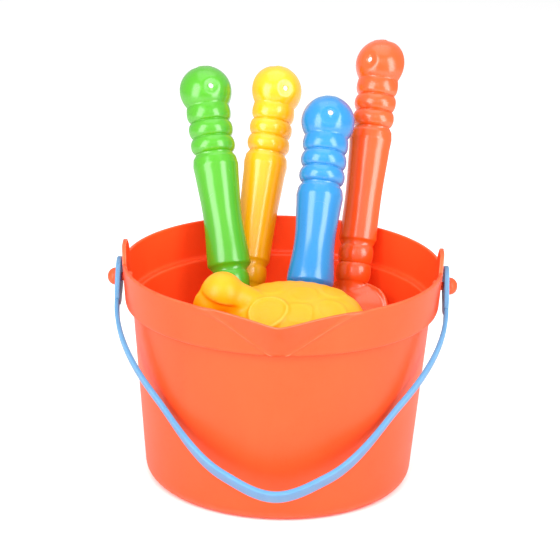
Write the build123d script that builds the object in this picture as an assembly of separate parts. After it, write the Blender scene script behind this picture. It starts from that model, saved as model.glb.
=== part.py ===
from build123d import *
import os
from math import cos, radians, sin, sqrt, tan

os.makedirs("parts", exist_ok=True)

# A child's sand bucket with its hinged bail, the sand tools that stand in it and one sand mould.
# Millimetres. Origin: middle of the bucket's base, on the floor. +Z is up, and the spout
# points along -Y, so the bail's pins are on the X axis, left at -X and right at +X.

# ---- bucket: driving dimensions ----
WALL = 2.0
OVERCUT = 1.0
BUCKET_HEIGHT = 136.6
BASE_RADIUS = 82.6
BASE_ROUND = 9.4
SHOULDER_HEIGHT = 110.5
SHOULDER_RADIUS = 91.2
COLLAR_RADIUS = 95.5
COLLAR_ROUND = 2.0
RIM_RADIUS = 97.5

# ---- pouring spout, pressed out of the collar ----
SPOUT_TIP = 110.0
SPOUT_ROOT = 84.0
SPOUT_ROOT_HALF_WIDTH = 48.0
SPOUT_FOOT_TIP = 97.2
SPOUT_FOOT_HALF_WIDTH = 43.0
SPOUT_DIP = 17.0

# ---- ears and the snap pins through them ----
PIN_HEIGHT = 124.3
EAR_FACE = 98.4
EAR_THICKNESS = 3.3
EAR_WIDTH = 26.0
EAR_TOP = 148.3
EAR_FOOT = 111.0
EAR_EDGE_ROUND = 1.2
PIN_RADIUS = 2.6
PIN_HEAD_RADIUS = 5.3
PIN_HEAD_FACE = 102.2
PIN_BARB_RADIUS = 3.8
PIN_BARB_LENGTH = 2.2
PIN_SEAT = 94.0

# ---- bail: a strap bent like a bracelet, in a plane through the pins, with a wider grip ----
BAIL_LEAN = 45.0
BAIL_REACH = 143.0
BAIL_WIDTH = 8.0
BAIL_GRIP_WIDTH = 13.0
BAIL_THICKNESS = 2.8
BAIL_LEG_X = 101.9
BAIL_LEG_DROP = 17.0
BAIL_KNEE_X = 74.5
BAIL_KNEE_DROP = 80.0
BAIL_GRIP_X = 31.0
BAIL_GRIP_DROP = 130.5
BAIL_WIDENS_FROM = 92.0
BAIL_WIDENS_TO = 122.0
BAIL_LEG_DIRECTION = (0.0, 1.0)
BAIL_KNEE_NORMAL = (0.8, 0.6)
BAIL_GRIP_NORMAL = (0.45, 0.9)
EYE_RADIUS = 13.0
EYE_THICKNESS = 3.2
EYE_CLEARANCE = 0.05

# ---- handles shared by all the sand tools: a shell that is open at its back ----
TOOL_WALL = 2.2
BALL_RADIUS = 17.0
BALL_FOOT_RADIUS = 14.0
BEAD_NECK_RADIUS = 12.9
BEAD_RADIUS = 14.5
BEAD_PITCH = 10.4
BEADS = 3
GRIP_TOP_RADIUS = 14.7
GRIP_WAIST_RADIUS = 12.7
GRIP_SHOULDER = 5.0
LOWER_BEAD_RADIUS = 12.0
LOWER_NECK_RADIUS = 10.8
LOWER_BEAD_PITCH = 11.7
NECK_LENGTH = 3.0
HANG_HOLE_RADIUS = 1.7
DISH_DEPTH = 0.9

# Each tool: where its handle's axis crosses the rim's plane, how far it leans back and to the
# right going up, the height of its ball, how far its face is turned to the right, its handle's
# lower end, and its head. Lengths run down the handle from the middle of the ball.
TOOLS = {
    "green_shovel": dict(
        at_rim=(-38.6, 60), lean=28, tilt=-10.9, ball_height=215.9, turn=21,
        grip_end=115, end_radius=14.0, lower_beads=1,
        half_width=25, depth=9, length=234, tip="round",
    ),
    "yellow_rake": dict(
        at_rim=(-19, 85), lean=27, tilt=7.4, ball_height=212.3, turn=22,
        grip_end=112.5, end_radius=12.6, lower_beads=1,
        half_width=25, depth=8, length=228, tip="tines",
    ),
    "blue_trowel": dict(
        at_rim=(19, 42), lean=31, tilt=5.3, ball_height=203.6, turn=2,
        grip_end=106, end_radius=14.7, lower_beads=0,
        half_width=24, depth=9, length=220, tip="point",
    ),
    "red_scoop": dict(
        at_rim=(48.4, 75), lean=25, tilt=6.4, ball_height=232.4, turn=-35,
        grip_end=115.5, end_radius=12.8, lower_beads=2,
        half_width=29, depth=14, length=242, tip="square",
    ),
}
POINT_LENGTH = 62.0
CORNER_ROUND = 11.0
TINES = 5
TINE_GAP = 5.0
TINE_LENGTH = 46.0

# ---- sand mould, a turtle, modelled upright and then tipped towards the spout ----
MOULD_WALL = 1.8
MOULD_CENTRE = (8.0, -45.0)
MOULD_FLOOR = 88.0
MOULD_HEIGHT = 42.0
MOULD_HALF_LENGTH = 44.0
MOULD_HALF_WIDTH = 32.0
MOULD_ROUND = 15.0
MOULD_TAPER = 8.0
MOULD_TIP = 14.0
MOULD_TIP_HEIGHT = 110.0
MOULD_HEAD_CENTRE = (-36.0, -45.0, 131.5)
MOULD_HEAD_RADIUS = 14.5
MOULD_NECK_RADIUS = 11.5
MOULD_NECK_ROOT = (-8.0, -45.0, 112.0)
SCUTE_RADIUS = 12.3
SCUTE_CENTRE = (-7.0, -53.5)
SCUTE_RISE = 1.6


def save(name, solid):
    solid.label = name
    export_step(solid, f"parts/{name}.step")


def wall_profile(inset):
    """Half section of the bucket's outside, moved inwards by inset all round."""
    floor = inset
    foot = BASE_RADIUS - inset
    shoulder = SHOULDER_RADIUS - inset
    step = SHOULDER_HEIGHT + inset
    top = BUCKET_HEIGHT if inset == 0 else BUCKET_HEIGHT + WALL
    section = Polyline(
        (0, floor), (foot, floor), (shoulder, step), (COLLAR_RADIUS - inset, step),
        (RIM_RADIUS - inset, top), (0, top), close=True,
    )
    face = make_face(section)
    corners = face.vertices()
    foot_corner = corners.sort_by_distance((foot, floor, 0))[0]
    collar_corner = corners.sort_by_distance((COLLAR_RADIUS - inset, step, 0))[0]
    face = fillet(foot_corner, BASE_ROUND - inset)
    corner = face.vertices().sort_by_distance(collar_corner.center())[0]
    return fillet(corner, COLLAR_ROUND)


def turned(face):
    """Revolve an XY half section about the bucket's upright axis."""
    return Rot(0, 0, 90) * revolve(Plane.XZ * face, Axis.Z)


def spout_wedge(inset):
    """The spout's V, narrow at the collar's foot and wide at the rim."""
    rise = BUCKET_HEIGHT - SHOULDER_HEIGHT

    def triangle(above_foot):
        share = above_foot / rise
        tip = SPOUT_FOOT_TIP + (SPOUT_TIP - SPOUT_FOOT_TIP) * share - inset
        widening = SPOUT_ROOT_HALF_WIDTH - SPOUT_FOOT_HALF_WIDTH
        half = SPOUT_FOOT_HALF_WIDTH + widening * share - inset
        points = [(-half, -SPOUT_ROOT), (half, -SPOUT_ROOT), (0, -tip)]
        return Plane.XY.offset(SHOULDER_HEIGHT + above_foot) * make_face(Polyline(*points, close=True))

    return loft([triangle(inset), triangle(rise + WALL)])


def make_bucket():
    outside = turned(wall_profile(0)) + spout_wedge(0)
    for side in (-1, 1):
        outside += make_ear(side)
    hollow = turned(wall_profile(WALL)) + spout_wedge(WALL)
    body = outside - hollow
    spout_side = Box(
        3 * SPOUT_ROOT_HALF_WIDTH, SPOUT_ROOT, EAR_TOP, align=(Align.CENTER, Align.MAX, Align.MIN))
    body -= Pos(0, -SPOUT_ROOT, BUCKET_HEIGHT) * spout_side
    dip = Pos(0, -RIM_RADIUS, BUCKET_HEIGHT) * Rot(SPOUT_DIP, 0, 0)
    body -= dip * spout_side
    for side in (-1, 1):
        hole = Plane(origin=(side * (EAR_FACE - EAR_WIDTH), 0, PIN_HEIGHT), z_dir=(side, 0, 0))
        body -= hole * Cylinder(
            PIN_RADIUS, EAR_WIDTH + WALL, align=(Align.CENTER, Align.CENTER, Align.MIN))
    return body


def make_ear(side):
    """An upright tab with a round top, which thickens the collar where the pin goes through."""
    height = EAR_TOP - EAR_FOOT
    inner = EAR_FACE - EAR_THICKNESS
    tab = Pos(inner + EAR_THICKNESS / 2, 0, EAR_FOOT + height / 2) * Box(EAR_THICKNESS, EAR_WIDTH, height)
    top_corners = tab.edges().filter_by(Axis.X).group_by(Axis.Z)[-1]
    tab = fillet(top_corners, EAR_WIDTH / 2 - EAR_EDGE_ROUND)
    border = tab.faces().sort_by(Axis.X)[-1].edges()
    tab = fillet(border - border.group_by(Axis.Z)[0], EAR_EDGE_ROUND)
    return tab if side > 0 else Rot(0, 0, 180) * tab


def make_pin(side):
    """A mushroom-headed snap pin: domed head, plain shank and a barb inside the bucket."""
    upright = (Align.CENTER, Align.CENTER, Align.MIN)
    tip = PIN_SEAT - PIN_BARB_LENGTH
    shank = Pos(0, 0, tip) * Cylinder(PIN_RADIUS, PIN_HEAD_FACE - tip, align=upright)
    barb = Pos(0, 0, tip) * Cone(PIN_RADIUS, PIN_BARB_RADIUS, PIN_BARB_LENGTH, align=upright)
    head = Pos(0, 0, PIN_HEAD_FACE) * Sphere(PIN_HEAD_RADIUS, arc_size1=0, align=upright)
    place = Plane(origin=(0, 0, PIN_HEIGHT), z_dir=(side, 0, 0))
    return place * (shank + barb + head)


def bail_curve(inset):
    """Half of the strap's outer line in the bail's own plane, moved inwards by inset."""
    stations = [
        ((BAIL_LEG_X, BAIL_LEG_DROP), (1, 0)),
        ((BAIL_KNEE_X, BAIL_KNEE_DROP), BAIL_KNEE_NORMAL),
        ((BAIL_GRIP_X, BAIL_GRIP_DROP), BAIL_GRIP_NORMAL),
        ((0, BAIL_REACH), (0, 1)),
    ]
    points = [Vector(*place) - Vector(*normal) * inset for place, normal in stations]
    return Spline(*points, tangents=[BAIL_LEG_DIRECTION, (-1, 0)])


def bail_width():
    """The strap seen from its side: narrow legs, and a grip that is wider towards the front."""
    back, front = -BAIL_WIDTH / 2, BAIL_WIDTH / 2
    grip_front = back + BAIL_GRIP_WIDTH
    beyond = BAIL_REACH + BAIL_GRIP_WIDTH
    widening = Spline(
        (BAIL_WIDENS_FROM, front), (BAIL_WIDENS_TO, grip_front), tangents=[(1, 0), (1, 0)])
    outline = Polyline(
        (BAIL_WIDENS_TO, grip_front), (beyond, grip_front), (beyond, back),
        (-BAIL_THICKNESS, back), (-BAIL_THICKNESS, front), (BAIL_WIDENS_FROM, front),
    )
    return make_face([widening, outline])


def make_bail():
    """A thin strap with a round eye at each end, hanging forward from the pins."""
    outer = bail_curve(0)
    inner = bail_curve(BAIL_THICKNESS)
    leg = Polyline(outer @ 0, (BAIL_LEG_X, 0), (BAIL_LEG_X - BAIL_THICKNESS, 0), inner @ 0)
    half = make_face([outer, Line(outer @ 1, inner @ 1), inner, leg])
    strap = extrude(half, BAIL_GRIP_WIDTH, both=True)
    strap += mirror(strap, Plane.YZ)
    side_view = Plane(origin=(0, 0, 0), x_dir=(0, 1, 0), z_dir=(1, 0, 0))
    strap &= extrude(side_view * bail_width(), 2 * BAIL_LEG_X, both=True)
    lean = radians(BAIL_LEAN)
    down = (0, -sin(lean), -cos(lean))
    hang = Plane(origin=(0, 0, PIN_HEIGHT), x_dir=(-1, 0, 0), z_dir=(0, -cos(lean), sin(lean)))
    bail = hang * strap
    inwards = (Align.CENTER, Align.CENTER, Align.MIN)
    for side in (-1, 1):
        eye_plane = Plane(origin=(side * BAIL_LEG_X, 0, PIN_HEIGHT), x_dir=down, z_dir=(-side, 0, 0))
        bail += eye_plane * Cylinder(EYE_RADIUS, EYE_THICKNESS, align=inwards)
    bore = Plane(origin=(0, 0, PIN_HEIGHT), z_dir=(1, 0, 0)) * Cylinder(
        PIN_RADIUS + EYE_CLEARANCE, 3 * BAIL_LEG_X)
    return bail - bore


def bead_row(start, count, pitch, neck, crest):
    """Round beads one under the other, as arcs of the handle's outline."""
    beads = []
    for _ in range(count):
        end = (neck, start[1] - pitch)
        beads.append(ThreePointArc(start, (crest, start[1] - pitch / 2), end))
        start = end
    return beads


def handle_foot(tool):
    """How far below the ball the handle ends and the head begins."""
    return tool["grip_end"] + NECK_LENGTH + tool["lower_beads"] * LOWER_BEAD_PITCH


def handle_solid(tool, inset):
    """The front half of the handle, turned about its axis and moved inwards by inset."""
    ball = BALL_RADIUS - inset
    neck = BEAD_NECK_RADIUS - inset
    lower_neck = LOWER_NECK_RADIUS - inset
    ball_foot = (BALL_FOOT_RADIUS - inset, -sqrt(BALL_RADIUS ** 2 - BALL_FOOT_RADIUS ** 2))
    bead_foot = ball_foot[1] - BEADS * BEAD_PITCH
    grip_top = (GRIP_TOP_RADIUS - inset, bead_foot - GRIP_SHOULDER)
    grip_end = (tool["end_radius"] - inset, -tool["grip_end"])
    waist = (GRIP_WAIST_RADIUS - inset, (grip_top[1] + grip_end[1]) / 2)
    lower_top = (lower_neck, -tool["grip_end"] - NECK_LENGTH)
    lower_crest = LOWER_BEAD_RADIUS - inset
    foot = -handle_foot(tool)
    outline = [
        ThreePointArc((0, ball), (ball, 0), ball_foot),
        *bead_row(ball_foot, BEADS, BEAD_PITCH, neck, BEAD_RADIUS - inset),
        Line((neck, bead_foot), grip_top),
        ThreePointArc(grip_top, waist, grip_end),
        Line(grip_end, lower_top),
        *bead_row(lower_top, tool["lower_beads"], LOWER_BEAD_PITCH, lower_neck, lower_crest),
        Line((lower_neck, foot), (0, foot)),
        Line((0, foot), (0, ball)),
    ]
    return Rot(0, 0, 180) * revolve(Plane.XZ * make_face(outline), Axis.Z, 180)


def head_outline(tool):
    """The head's flat pattern, seen from its front."""
    half, top, end = tool["half_width"], -handle_foot(tool), -tool["length"]
    if tool["tip"] == "round":
        pattern = make_face([
            Line((-half, top), (half, top)),
            Line((half, top), (half, end + half)),
            ThreePointArc((half, end + half), (0, end), (-half, end + half)),
            Line((-half, end + half), (-half, top)),
        ])
    elif tool["tip"] == "point":
        side = end + POINT_LENGTH
        pattern = make_face(Polyline(
            (-half, top), (half, top), (half, side), (0, end), (-half, side), close=True))
        pattern = fillet(pattern.vertices().group_by(Axis.Y)[0], CORNER_ROUND / 2)
    else:
        pattern = make_face(Polyline(
            (-half, top), (half, top), (half, end), (-half, end), close=True))
        if tool["tip"] == "square":
            pattern = fillet(pattern.vertices().group_by(Axis.Y)[0], CORNER_ROUND)
        else:
            pitch = 2 * half / TINES
            for i in range(1, TINES):
                gap = SlotCenterToCenter(2 * TINE_LENGTH, TINE_GAP, rotation=90)
                pattern -= Pos(i * pitch - half, end) * gap
    return pattern


def head_solid(tool):
    """A domed blade, hollow at its back, with a round shoulder under the handle."""
    half, depth = tool["half_width"], tool["depth"]
    curve = (half ** 2 + depth ** 2) / (2 * depth)
    shoulder = -handle_foot(tool) - half
    place = Pos(0, curve - depth, shoulder)

    def capsule(radius):
        stem = Cylinder(radius, tool["length"], align=(Align.CENTER, Align.CENTER, Align.MAX))
        return place * (stem + Sphere(radius))

    front = extrude(Plane.XZ * head_outline(tool), 2 * depth)
    return (capsule(curve) - capsule(curve - TOOL_WALL)) & front


def neck_rib(tool):
    """The tapered rib that carries the handle's foot into the blade."""
    foot, run = -handle_foot(tool), tool["half_width"]
    rib = make_face(Polyline(
        (0, foot + NECK_LENGTH / 2), (LOWER_NECK_RADIUS - TOOL_WALL / 2, foot + NECK_LENGTH / 2),
        (LOWER_NECK_RADIUS, foot), (TOOL_WALL, foot - run), (0, foot - run), close=True,
    ))
    return Rot(0, 0, 180) * revolve(Plane.XZ * rib, Axis.Z, 180)


def tool_place(tool):
    """The tool's own plane: origin at its ball, its axis as Z and its face towards -Y."""
    up = Vector(tan(radians(tool["tilt"])), tan(radians(tool["lean"])), 1)
    rise = tool["ball_height"] - BUCKET_HEIGHT
    ball = Vector(*tool["at_rim"], BUCKET_HEIGHT) + up * rise
    across = Vector(1, 0, -tan(radians(tool["tilt"])))
    return Plane(origin=ball, x_dir=across, z_dir=up) * Rot(0, 0, tool["turn"])


def make_tool(tool):
    handle = handle_solid(tool, 0) - handle_solid(tool, TOOL_WALL)
    handle = handle + neck_rib(tool) + head_solid(tool)
    bore = Plane(origin=(0, 0, 0), z_dir=(0, -1, 0)) * Cylinder(HANG_HOLE_RADIUS, 2 * BALL_RADIUS)
    dish = Pos(0, DISH_DEPTH - BALL_RADIUS, 0) * Box(
        BALL_RADIUS, BALL_RADIUS, BALL_RADIUS, align=(Align.CENTER, Align.MAX, Align.CENTER))
    return tool_place(tool) * (handle - bore - dish)


def mould_solid(inset):
    """The turtle's outside, moved inwards by inset: a rounded shell, a neck and a head."""
    floor = MOULD_FLOOR if inset == 0 else MOULD_FLOOR - OVERCUT
    oval = SlotOverall(2 * (MOULD_HALF_LENGTH - inset), 2 * (MOULD_HALF_WIDTH - inset))
    height = MOULD_FLOOR + MOULD_HEIGHT - inset - floor
    body = extrude(Pos(*MOULD_CENTRE, floor) * oval, height, taper=MOULD_TAPER)
    body = fillet(body.edges().group_by(Axis.Z)[-1], MOULD_ROUND - inset)
    return body + mould_head(inset)


def mould_head(inset):
    """The round head on its neck, turned about the neck's own axis."""
    neck_line = Vector(*MOULD_HEAD_CENTRE) - Vector(*MOULD_NECK_ROOT)
    neck, head, middle = MOULD_NECK_RADIUS - inset, MOULD_HEAD_RADIUS - inset, neck_line.length
    meeting = middle - sqrt(head ** 2 - neck ** 2)
    outline = make_face([
        Polyline((0, middle + head), (0, 0), (neck, 0), (neck, meeting)),
        ThreePointArc((neck, meeting), (head, middle), (0, middle + head)),
    ])
    upright = revolve(Plane.XZ * outline, Axis.Z)
    return Plane(origin=MOULD_NECK_ROOT, z_dir=neck_line) * upright


def make_mould():
    """A thin shell, open below, with a round scute raised on its back."""
    top = MOULD_FLOOR + MOULD_HEIGHT
    scute = Pos(*SCUTE_CENTRE, top - MOULD_WALL / 2) * Cylinder(
        SCUTE_RADIUS, SCUTE_RISE + MOULD_WALL / 2, align=(Align.CENTER, Align.CENTER, Align.MIN))
    turtle = mould_solid(0) + scute - mould_solid(MOULD_WALL)
    pivot = Pos(*MOULD_CENTRE, MOULD_TIP_HEIGHT)
    return pivot * Rot(MOULD_TIP, 0, 0) * pivot.inverse() * turtle


save("bucket", make_bucket())
save("left_pin", make_pin(-1))
save("right_pin", make_pin(1))
save("bail", make_bail())
for tool_name, tool in TOOLS.items():
    save(tool_name, make_tool(tool))
save("turtle_mould", make_mould())
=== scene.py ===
# %% [markdown]
# # A child's sand bucket, loaded with its tools
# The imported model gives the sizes, the bodies and the joints. This script dresses every one of
# its pieces: thin moulded walls with rounded edges, beaded handles that are hollow behind, a
# soft-shaped turtle mould, and glossy coloured plastic on all of them.

# %% Load the frame
import math
import bmesh
import bpy
import numpy as np
from mathutils import Matrix, Vector


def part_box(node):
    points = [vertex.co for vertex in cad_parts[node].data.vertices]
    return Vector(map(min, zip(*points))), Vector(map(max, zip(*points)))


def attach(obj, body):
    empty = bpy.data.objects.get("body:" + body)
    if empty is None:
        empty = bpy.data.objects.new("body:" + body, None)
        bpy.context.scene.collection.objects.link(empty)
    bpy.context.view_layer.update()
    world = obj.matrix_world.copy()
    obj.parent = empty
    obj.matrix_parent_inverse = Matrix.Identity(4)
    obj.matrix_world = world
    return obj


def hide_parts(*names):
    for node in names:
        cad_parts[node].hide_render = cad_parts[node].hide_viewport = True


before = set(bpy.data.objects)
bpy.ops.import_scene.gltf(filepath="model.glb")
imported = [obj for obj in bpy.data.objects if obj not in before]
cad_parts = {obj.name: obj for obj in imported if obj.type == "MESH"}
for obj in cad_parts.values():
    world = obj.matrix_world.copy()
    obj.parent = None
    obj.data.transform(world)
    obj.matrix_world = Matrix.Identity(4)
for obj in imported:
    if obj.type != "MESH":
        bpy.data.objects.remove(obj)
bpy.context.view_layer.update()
MM = 0.001

# %% [markdown]
# ## Camera
# A long lens, a little above the rim and a step back, keeps the bucket's sides nearly parallel,
# as a catalogue picture of a small product does. The camera is set by where it stands, how far
# it looks down and its slight roll, rather than by aiming it at a target, so that it stays put
# when a piece changes.

# %% Camera
CAMERA_PLACE = Vector((0.0157, -1.2996, 0.5655))
CAMERA_DOWN = math.radians(18.725)
CAMERA_TURN = math.radians(0.757)
CAMERA_ROLL = math.radians(1.487)
CAMERA_LENS = 144.4

camera_data = bpy.data.cameras.new("camera")
camera_data.lens = CAMERA_LENS
camera_data.sensor_width = 36.0
camera = bpy.data.objects.new("camera", camera_data)
bpy.context.scene.collection.objects.link(camera)
aim = Matrix.Rotation(CAMERA_TURN, 4, "Z") @ Matrix.Rotation(math.radians(90) - CAMERA_DOWN, 4, "X")
camera.matrix_world = Matrix.Translation(CAMERA_PLACE) @ aim @ Matrix.Rotation(CAMERA_ROLL, 4, "Z")
bpy.context.scene.camera = camera
print("camera", [round(c, 3) for c in camera.location])

# %% [markdown]
# ## Floor and light
# The floor is a plain pale sheet that is lit to near white, so only the soft contact shadow
# shows. Two upright soft boxes in front, left and right, draw the pair of long highlights on
# every handle. A broad sheet above and a fill light high in front reach down into the bucket.
# The fill light is hidden from reflections, so that it adds no third highlight.

# %% Floor, lights and world
FLOOR_HALF = 3.0
LIGHT_TARGET = (0, 0, 0.12)
WORLD_STRENGTH = 0.8


def new_object(name, mesh):
    piece = bpy.data.objects.new(name, mesh)
    bpy.context.scene.collection.objects.link(piece)
    return piece


def area_light(name, place, size, watts):
    """A rectangular light that faces the bucket."""
    data = bpy.data.lights.new(name, "AREA")
    data.shape = "RECTANGLE"
    data.size, data.size_y = size
    data.energy = watts
    lamp = bpy.data.objects.new(name, data)
    lamp.location = place
    lamp.rotation_euler = (Vector(LIGHT_TARGET) - Vector(place)).to_track_quat("-Z", "Y").to_euler()
    bpy.context.scene.collection.objects.link(lamp)
    return lamp


floor_mesh = bpy.data.meshes.new("floor")
corners = [(-FLOOR_HALF, -FLOOR_HALF, 0), (FLOOR_HALF, -FLOOR_HALF, 0),
           (FLOOR_HALF, FLOOR_HALF, 0), (-FLOOR_HALF, FLOOR_HALF, 0)]
floor_mesh.from_pydata(corners, [], [(0, 1, 2, 3)])
floor = new_object("floor", floor_mesh)

area_light("left_soft_box", (-0.95, -0.95, 0.60), size=(0.80, 1.5), watts=22.0)
area_light("right_soft_box", (1.00, -0.90, 0.60), size=(0.65, 1.5), watts=21.0)
area_light("top_sheet", (0.0, 0.10, 1.35), size=(1.2, 1.2), watts=6.0)
fill = area_light("front_fill", (0.0, -1.15, 1.15), size=(1.0, 0.6), watts=12.0)
fill.visible_glossy = False

world = bpy.data.worlds.new("studio")
bpy.context.scene.world = world
world.use_nodes = True
world.node_tree.nodes["Background"].inputs["Color"].default_value = (1, 1, 1, 1)
world.node_tree.nodes["Background"].inputs["Strength"].default_value = WORLD_STRENGTH
bpy.context.scene.view_settings.view_transform = "Standard"
print("lights", len(bpy.data.lights))

# %% [markdown]
# ## Mesh helpers
# Most pieces here are surfaces made of rings or rows of points, so one helper joins the rows
# into faces. Outlines with rounded corners come from a second helper, which replaces each
# corner by an arc of the radius written beside it. Numpy keeps both short.

# %% Rows of points into a mesh
WELD = 1e-6


def mesh_from_rows(name, rows, around=True, cap_ends=False):
    """Join rows of equally many points into quads. around closes each row into a ring."""
    count = len(rows[0])
    points = np.concatenate(rows)
    faces = []
    last = count if around else count - 1
    for row in range(len(rows) - 1):
        for i in range(last):
            a = row * count + i
            b = row * count + (i + 1) % count
            faces.append((a, b, b + count, a + count))
    if cap_ends:
        faces.append(tuple(reversed(range(count))))
        faces.append(tuple(range(len(points) - count, len(points))))
    mesh = bpy.data.meshes.new(name)
    mesh.from_pydata([tuple(p) for p in points], [], faces)
    clean_mesh(mesh)
    return mesh


def clean_mesh(mesh):
    """Weld doubled points, turn all faces outwards and shade the surface smooth."""
    work = bmesh.new()
    work.from_mesh(mesh)
    bmesh.ops.remove_doubles(work, verts=work.verts, dist=WELD)
    bmesh.ops.recalc_face_normals(work, faces=work.faces)
    work.to_mesh(mesh)
    work.free()
    mesh.shade_smooth()
    mesh.update()


def rounded(corners, steps=6):
    """A line of (x, y, radius) corners with each corner replaced by an arc of its radius."""
    line = [np.array(corners[0][:2], float)]
    for before, here, after in zip(corners, corners[1:], corners[2:]):
        radius = here[2]
        point = np.array(here[:2], float)
        if radius == 0:
            line.append(point)
            continue
        back = np.array(before[:2], float) - point
        ahead = np.array(after[:2], float) - point
        back, ahead = back / np.linalg.norm(back), ahead / np.linalg.norm(ahead)
        half = math.acos(np.clip(back @ ahead, -1, 1)) / 2
        centre = point + (back + ahead) / np.linalg.norm(back + ahead) * radius / math.sin(half)
        start = point + back * radius / math.tan(half) - centre
        end = point + ahead * radius / math.tan(half) - centre
        sweep = math.pi - 2 * half
        turn = math.copysign(1, start[0] * end[1] - start[1] * end[0])
        for i in range(steps + 1):
            a = turn * sweep * i / steps
            spin = np.array([[math.cos(a), -math.sin(a)], [math.sin(a), math.cos(a)]])
            line.append(centre + spin @ start)
    line.append(np.array(corners[-1][:2], float))
    return np.array(line)


def finer(line, longest):
    """Split the long stretches of a line so that no step is longer than the given length."""
    out = [line[0]]
    for a, b in zip(line, line[1:]):
        parts = max(1, math.ceil(np.linalg.norm(b - a) / longest))
        out += [a + (b - a) * i / parts for i in range(1, parts + 1)]
    return np.array(out)


def prism(name, outline, origin, across, up, depth):
    """A flat outline, in across and up, given depth."""
    across, up = Vector(across), Vector(up)
    out = across.cross(up)
    work = bmesh.new()
    ends = []
    for level in (0, depth):
        base = Vector(origin) + out * level
        ends.append([work.verts.new((base + across * x + up * y) * MM) for x, y in outline])
    work.faces.new(list(reversed(ends[0])))
    work.faces.new(ends[1])
    count = len(outline)
    for i in range(count):
        j = (i + 1) % count
        work.faces.new((ends[0][i], ends[0][j], ends[1][j], ends[1][i]))
    mesh = bpy.data.meshes.new(name)
    work.to_mesh(mesh)
    work.free()
    clean_mesh(mesh)
    return mesh


def arc(centre, radius, start, end, steps):
    angles = np.radians(np.linspace(start, end, steps))
    return [(centre[0] + radius * math.cos(a), centre[1] + radius * math.sin(a)) for a in angles]


print("helpers ready")

# %% [markdown]
# ## Bucket wall
# The real wall is one thin moulding: a tapered drum, a stepped-out collar at the top and a
# pouring spout pressed out of the collar's front. It is turned from a half section like a pot
# on a wheel, and the spout is then pushed out ring by ring with a formula, so its two flat
# flanks and their soft edges stay part of the same skin. A boolean union would leave hard,
# thin slivers where the flanks meet the collar.

# %% Half section of the wall
WALL = 2.0
BUCKET_HEIGHT = 136.6
BASE_RADIUS = 82.6
SHOULDER_HEIGHT = 110.5
SHOULDER_RADIUS = 91.2
COLLAR_RADIUS = 95.5
RIM_RADIUS = 97.5
FOOT_RECESS = 1.0
COLLAR_STEP = 0.8

section = rounded([
    (0, FOOT_RECESS, 0), (66, FOOT_RECESS, 1.5), (69, 0, 1.5), (BASE_RADIUS - 0.8, 0, 9.0),
    (SHOULDER_RADIUS, SHOULDER_HEIGHT, 1.2), (COLLAR_RADIUS, SHOULDER_HEIGHT + 0.4, 1.7),
    (RIM_RADIUS, BUCKET_HEIGHT, 0.95), (RIM_RADIUS - WALL, BUCKET_HEIGHT, 0.95),
    (COLLAR_RADIUS - WALL, SHOULDER_HEIGHT + WALL, 2.2),
    (SHOULDER_RADIUS - WALL, SHOULDER_HEIGHT + WALL, 1.6),
    (BASE_RADIUS - WALL, WALL, 7.4), (0, WALL, 0),
])
in_collar = np.flatnonzero(section[:, 1] >= SHOULDER_HEIGHT)
first, last = in_collar[0], in_collar[-1]
section = np.concatenate([finer(section[:first + 1], 2.5)[:-1], finer(section[first:last + 1], COLLAR_STEP),
                          finer(section[last:], 2.5)[1:]])
print("section points", len(section))

# %% Spout pushed out of the collar
SPOUT_TIP = 110.0
SPOUT_FOOT_TIP = 96.5
SPOUT_HALF_WIDTH = 35.0
SPOUT_FOOT_HALF_WIDTH = 2.5
SPOUT_NOSE = 0.04
SPOUT_EDGE = 0.08
SPOUT_SLOPE = math.tan(math.radians(17))
SPOUT_ARC = math.radians(26)
CREASE_RISE = 0.8
CREASE_REACH = 0.3


def bucket_angles():
    """Angles round the wall from the spout's middle, close together across the spout."""
    fine = np.linspace(-SPOUT_ARC, SPOUT_ARC, 150)
    rest = np.linspace(SPOUT_ARC, 2 * np.pi - SPOUT_ARC, 300)
    return np.concatenate([fine, rest[1:-1]])


ANGLES = bucket_angles()


def smooth_step(x, low, high):
    t = np.clip((x - low) / (high - low), 0, 1)
    return t * t * (3 - 2 * t)


def spout_push(angle, height):
    """How far the collar's face stands out at an angle from the spout's middle.

    The two flanks are flat, so each is a straight line in plan, and the fold where a flank
    leaves the round collar is slightly raised.
    """
    share = np.clip((height - SHOULDER_HEIGHT) / (BUCKET_HEIGHT - SHOULDER_HEIGHT), 0, 1)
    round_radius = COLLAR_RADIUS + (RIM_RADIUS - COLLAR_RADIUS) * share
    tip = SPOUT_FOOT_TIP + (SPOUT_TIP - SPOUT_FOOT_TIP) * share
    half = SPOUT_FOOT_HALF_WIDTH + (SPOUT_HALF_WIDTH - SPOUT_FOOT_HALF_WIDTH) * share
    drop = tip - np.sqrt(round_radius ** 2 - half ** 2)
    side = np.sqrt(np.sin(angle) ** 2 + SPOUT_NOSE ** 2) - SPOUT_NOSE * 0.6
    flank = tip / (np.cos(angle) + side * drop / half)
    flank = np.where(np.cos(angle) > 0.7, flank, 0)
    gap = flank - round_radius
    crease = CREASE_RISE * np.exp(-(gap / CREASE_REACH) ** 2)
    return (gap + np.sqrt(gap ** 2 + SPOUT_EDGE ** 2)) / 2 + crease


def bucket_ring(radius, height, outside):
    turn = ANGLES - np.pi / 2
    from_spout = (ANGLES + np.pi) % (2 * np.pi) - np.pi
    low = SHOULDER_RADIUS if outside else SHOULDER_RADIUS - WALL
    weight = np.clip((radius - low) / (COLLAR_RADIUS - SHOULDER_RADIUS), 0, 1)
    weight = weight * (height > SHOULDER_HEIGHT - 0.5) * smooth_step(abs(from_spout), 0.62, 0.48)
    push = spout_push(from_spout, height) * weight
    reach = radius + push
    dip = push * SPOUT_SLOPE * smooth_step(height, SHOULDER_HEIGHT + 8, BUCKET_HEIGHT)
    rise = np.full_like(turn, height) - dip
    return np.stack([reach * np.cos(turn), reach * np.sin(turn), rise], axis=1) * MM


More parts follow.
